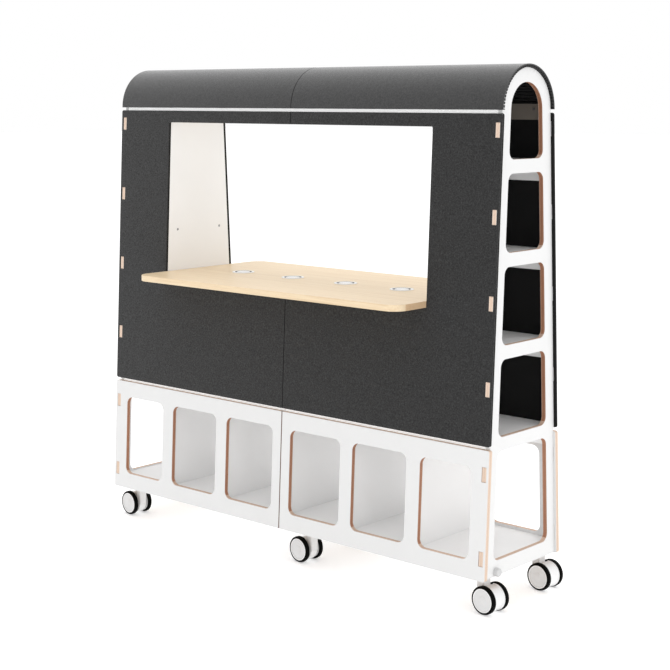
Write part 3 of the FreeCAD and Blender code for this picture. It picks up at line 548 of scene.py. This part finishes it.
# Outlines are (radius, offset along the axle) in millimetres, for the wheel on the near side.
TYRE = [(43.6, 28.0), (49.4, 28.0), (51.0, 28.4), (51.8, 29.3), (52.0, 31.0), (52.0, 36.0), (51.8, 39.4),
        (51.2, 42.2), (50.2, 44.2), (48.8, 45.3), (47.0, 45.7), (44.6, 45.5), (43.6, 44.9)]
HUB = [(5.0, 28.0), (42.3, 28.0), (43.5, 28.8), (43.5, 44.6), (43.2, 45.4), (42.4, 45.8), (40.8, 45.8),
       (40.0, 45.5), (39.5, 44.6), (39.1, 43.4), (38.2, 43.0), (30.0, 42.7), (17.0, 42.9), (15.6, 43.1),
       (15.0, 43.8), (14.3, 44.3), (12.5, 44.5), (5.0, 44.7)]
AXLE = [(0.4, -28.5), (5.0, -28.5), (5.0, 28.5), (0.4, 28.5)]
CAP_DISC = [(0.4, 44.0), (5.2, 44.0), (5.2, 44.7), (0.4, 44.8)]
FENDER = [(47.0, 26.8), (47.9, 26.4), (48.4, 25.7), (48.5, 24.6), (48.0, 23.7), (46.4, 23.2), (46.0, 22.4)]
WEB = [(5.05, -16.9), (44.8, -16.9), (45.9, -16.2), (45.9, 16.2), (44.8, 16.9), (5.05, 16.9)]
FENDER_BACK = 8.0                # how far the shell reaches behind the axle
DISC_RADIUS = 39.6               # the dished middle of a hub's outer face, in its own plastic
DISC_OFFSET = 42.0
NECK_HALF = 17.0                 # half thickness of the neck, along the axle
NECK_REACH = 19.5                # half its width at the top


def in_metres(profile):
    return [(radius * MM, offset * MM) for radius, offset in profile]


def mirrored(profile):
    """The same profile for the wheel on the other side of the hood."""
    return [(radius, -offset) for radius, offset in reversed(profile)]


def neck_block(mesh, stem, ahead, axle, top):
    """Block between the wheels that turns on the stem; its back edges are rounded."""
    reach = NECK_REACH * MM
    section = [(-NECK_REACH, 52.0), (34.0, 10.4), (34.0, 52.0), (NECK_REACH, 78.0)]
    section = [(run * MM, rise * MM) for run, rise in section] + [(reach, top), (-reach, top)]
    sides = []
    for offset in (-NECK_HALF * MM, NECK_HALF * MM):
        sides.append([mesh.verts.new(stem + ahead * run + axle * offset + Vector((0, 0, rise)))
                      for run, rise in section])
    faces = [mesh.faces.new(sides[0]), mesh.faces.new(reversed(sides[1]))]
    count = len(section)
    for index in range(count):
        after = (index + 1) % count
        faces.append(mesh.faces.new((sides[0][index], sides[1][index], sides[1][after], sides[0][after])))
    bmesh.ops.recalc_face_normals(mesh, faces=faces)
    upright = [edge for edge in {edge for face in faces for edge in face.edges}
               if abs((edge.verts[0].co - edge.verts[1].co).normalized().z) > 0.999]
    back = [edge for edge in upright if (edge.verts[0].co - stem).dot(ahead) < 0]
    bmesh.ops.bevel(mesh, geom=back, offset=8 * MM, offset_type="OFFSET", segments=6, profile=0.5,
                    affect="EDGES", clamp_overlap=True)


def add_fender(mesh, centre, ahead, axle, steps=72):
    """Front part of the hood: a solid drum sector with a channel between two rims."""
    rim = in_metres(FENDER)
    profile = [(radius, -offset) for radius, offset in rim]
    profile += [(radius, offset) for radius, offset in reversed(rim)]
    up = Vector((0, 0, 1))
    back = FENDER_BACK * MM
    rows = []
    for step in range(steps + 1):
        share = step / steps
        row = []
        for radius, offset in profile:
            limit = math.acos(-back / radius)
            angle = limit * (2 * share - 1)
            row.append(mesh.verts.new(centre + (ahead * math.cos(angle) + up * math.sin(angle)) * radius
                                      + axle * offset))
        rows.append(row)
    count = len(profile)
    for step in range(steps):
        for index in range(count - 1):
            mesh.faces.new((rows[step][index], rows[step][index + 1],
                            rows[step + 1][index + 1], rows[step + 1][index]))
    mesh.faces.new([row[0] for row in rows])
    mesh.faces.new([row[-1] for row in reversed(rows)])
    mesh.faces.new(rows[-1] + rows[0][::-1])


for caster in CASTERS:
    roll = JOINTS[f"roll_{caster}"]
    swivel = JOINTS[f"swivel_{caster}"]
    hub_centre = Vector(roll["pos_m"])
    axle = Vector(roll["axis"]).normalized()
    stem = Vector((*swivel["pos_m"][:2], 0))
    ahead = Vector((axle.y, -axle.x, 0))
    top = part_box(f"caster_hood_{caster}")[1].z

    tyres = bmesh.new()
    hubs = bmesh.new()
    for turn in (lambda profile: profile, mirrored):
        add_lathe(tyres, turn(in_metres(TYRE)), hub_centre, axle)
        add_lathe(hubs, turn(in_metres(HUB)), hub_centre, axle)
        add_lathe(hubs, turn(in_metres(CAP_DISC)), hub_centre, axle, steps=32)
    add_lathe(hubs, in_metres(AXLE), hub_centre, axle, steps=32)
    finish_mesh(f"tyres_{caster}", tyres, TYRE_RUBBER, f"wheels_{caster}", node=f"caster_tyres_{caster}")
    wheel = finish_mesh(f"hubs_{caster}", hubs, WHITE_PLASTIC, f"wheels_{caster}",
                        node=f"caster_hubs_{caster}", sharp=50)
    wheel.data.materials.append(DISC_PLASTIC)
    for polygon in wheel.data.polygons:
        offset = polygon.center - hub_centre
        out = abs(offset.dot(axle))
        radius = (offset - axle * offset.dot(axle)).length
        if out > DISC_OFFSET * MM and radius < DISC_RADIUS * MM:
            polygon.material_index = 1

    hood = bmesh.new()
    add_fender(hood, hub_centre, ahead, axle)
    add_lathe(hood, in_metres(WEB), hub_centre, axle)
    neck = bmesh.new()
    neck_block(neck, stem, ahead, axle, top)
    edges = [edge for edge in neck.edges if edge.is_convex and edge.calc_face_angle() > math.radians(40)]
    bmesh.ops.bevel(neck, geom=edges, offset=1.4 * MM, offset_type="OFFSET", segments=3, profile=0.5,
                    affect="EDGES", clamp_overlap=True)
    finish_mesh(f"neck_{caster}", neck, NECK_PLASTIC, f"swivel_{caster}")
    finish_mesh(f"hood_{caster}", hood, WHITE_PLASTIC, f"swivel_{caster}", node=f"caster_hood_{caster}")


# Small trim ---------------------------------------------------------------------------------

KNOB = [(0.3, 0.0), (15.2, 0.0), (15.9, 0.8), (16.0, 2.6), (15.6, 4.0), (15.3, 6.0), (15.4, 12.0),
        (15.0, 14.4), (13.8, 16.3), (11.6, 17.4), (8.0, 17.9), (0.3, 18.0)]

bumpers = bmesh.new()
low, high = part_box("end_bumpers")
for sign in (-1, 1):
    foot = Vector((FRAME_OUTSIDE * sign, (low.y + high.y) / 2, (low.z + high.z) / 2))
    add_lathe(bumpers, in_metres(KNOB), foot, (sign, 0, 0), steps=64)
finish_mesh("bumpers", bumpers, KNOB_PAINTED_SHADE_PLASTIC, BODY, node="end_bumpers")


# Floor, light and camera --------------------------------------------------------------------

floor_graph = Graph("studio_floor", Roughness=0.6)
floor_cloud = floor_graph.noise(floor_graph.place, 1.5, detail=2)
floor_graph.colour(floor_graph.mix(floor_cloud, (0.90, 0.90, 0.90), (0.92, 0.92, 0.92)))
floor_graph.shader.inputs["Emission Color"].default_value = (1, 1, 1, 1)
floor_graph.shader.inputs["Emission Strength"].default_value = 0.34
floor_mesh = bpy.data.meshes.new("studio_floor")
REACH = 60
floor_mesh.from_pydata([(-REACH, -REACH, 0), (REACH, -REACH, 0), (REACH, REACH, 0), (-REACH, REACH, 0)],
                       [], [(0, 1, 2, 3)])
floor_mesh.materials.append(floor_graph.material)
floor = bpy.data.objects.new("studio_floor", floor_mesh)
bpy.context.scene.collection.objects.link(floor)

world = bpy.data.worlds.new("studio")
world.use_nodes = True
world.node_tree.nodes["Background"].inputs["Color"].default_value = (1, 1, 1, 1)
world.node_tree.nodes["Background"].inputs["Strength"].default_value = 1.0
bpy.context.scene.world = world


def softbox(name, place, target, size, power):
    """Square area light that looks at target."""
    data = bpy.data.lights.new(name, "AREA")
    data.shape = "SQUARE"
    data.size = size
    data.energy = power
    lamp = bpy.data.objects.new(name, data)
    lamp.location = place
    lamp.rotation_euler = (Vector(target) - Vector(place)).to_track_quat("-Z", "Y").to_euler()
    bpy.context.scene.collection.objects.link(lamp)


softbox("side", (6.5, -1.6, 2.2), (0, 0, 1), 4.0, 16)
softbox("top", (0.0, 0.4, 5.5), (0, 0, 1), 3.0, 60)
bpy.context.scene.view_settings.view_transform = "Standard"

CAMERA_PLACE = (3.9473, -4.3528, 1.8337)
CAMERA_YAW = 41.5705             # degrees from +Y towards -X
CAMERA_PITCH = 6.3172            # degrees below level
FOCAL_SHARE = 2.202388           # focal length over image width
SHIFT = -0.11
camera_data = bpy.data.cameras.new("camera")
camera_data.sensor_width = 36
camera_data.lens = 36 * FOCAL_SHARE
camera_data.shift_y = SHIFT
camera_data.clip_start = 0.1
camera_data.clip_end = 300
camera = bpy.data.objects.new("camera", camera_data)
camera.location = CAMERA_PLACE
camera.rotation_euler = (math.radians(90 - CAMERA_PITCH), 0, math.radians(CAMERA_YAW))
bpy.context.scene.collection.objects.link(camera)
bpy.context.scene.camera = camera
